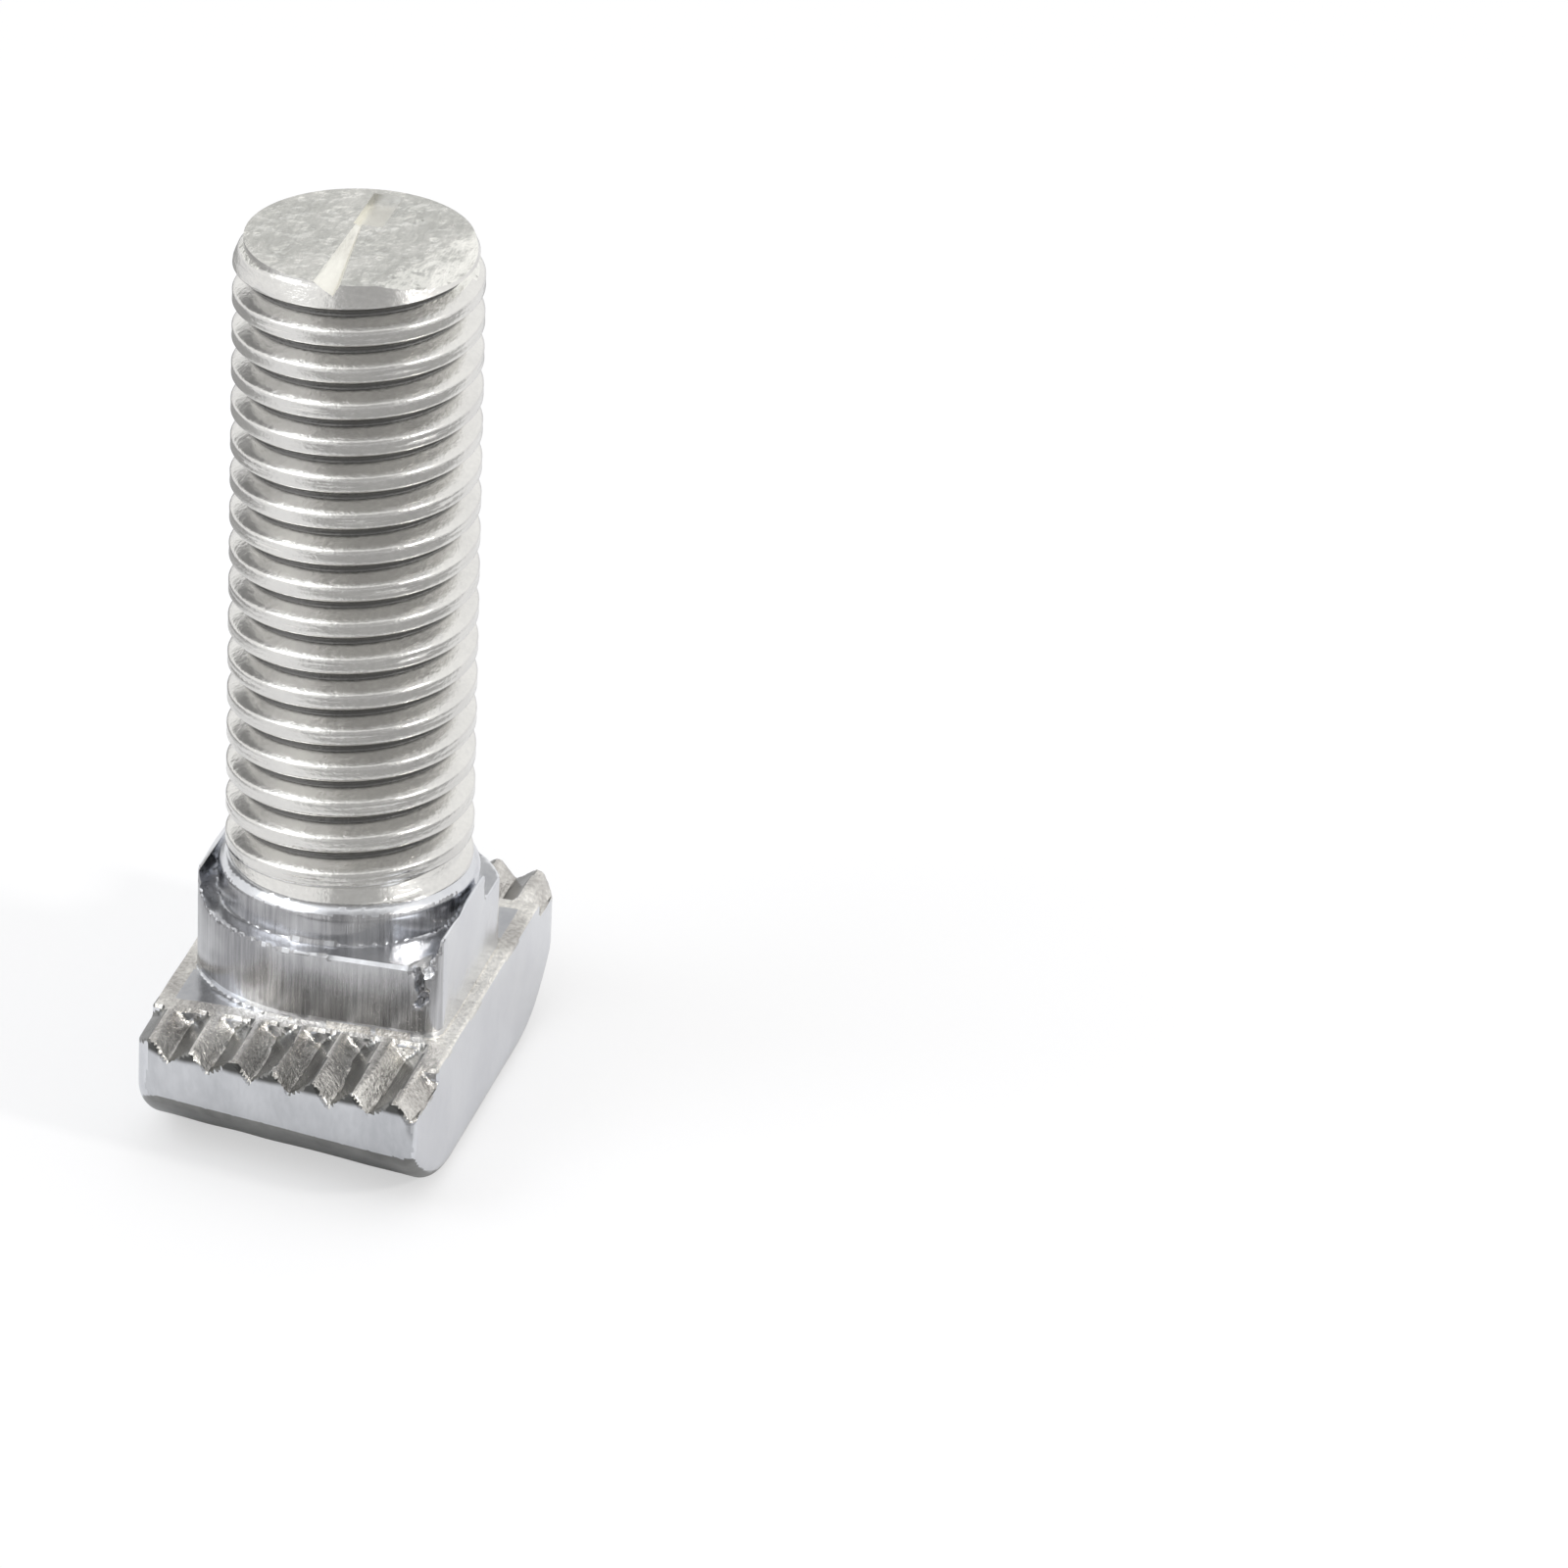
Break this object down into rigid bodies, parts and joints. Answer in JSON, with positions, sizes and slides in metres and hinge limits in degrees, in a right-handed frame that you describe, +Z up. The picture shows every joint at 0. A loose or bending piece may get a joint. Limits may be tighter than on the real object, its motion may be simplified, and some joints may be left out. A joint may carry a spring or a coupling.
{
  "type": "t slot bolt",
  "caption": "Hammer-head bolt for T-slot profiles: serrated boat-shaped head, neck as wide as the slot, plain collar, right-hand M8 thread and a position slot in the end face.",
  "frame": {"origin": "centre of the head's flat bottom, on the shank's axis", "axes": "+Z up the shank from the head to the threaded end, X along the head's long axis and the end slot, Y across the head"},
  "size_m": [0.0186, 0.0098, 0.0292],
  "materials": {
    "plated_steel": "bright nickel plating over forged and thread-rolled steel"
  },
  "bodies": {
    "root": {"t_slot_bolt": "plated_steel"}
  },
  "joints": []
}
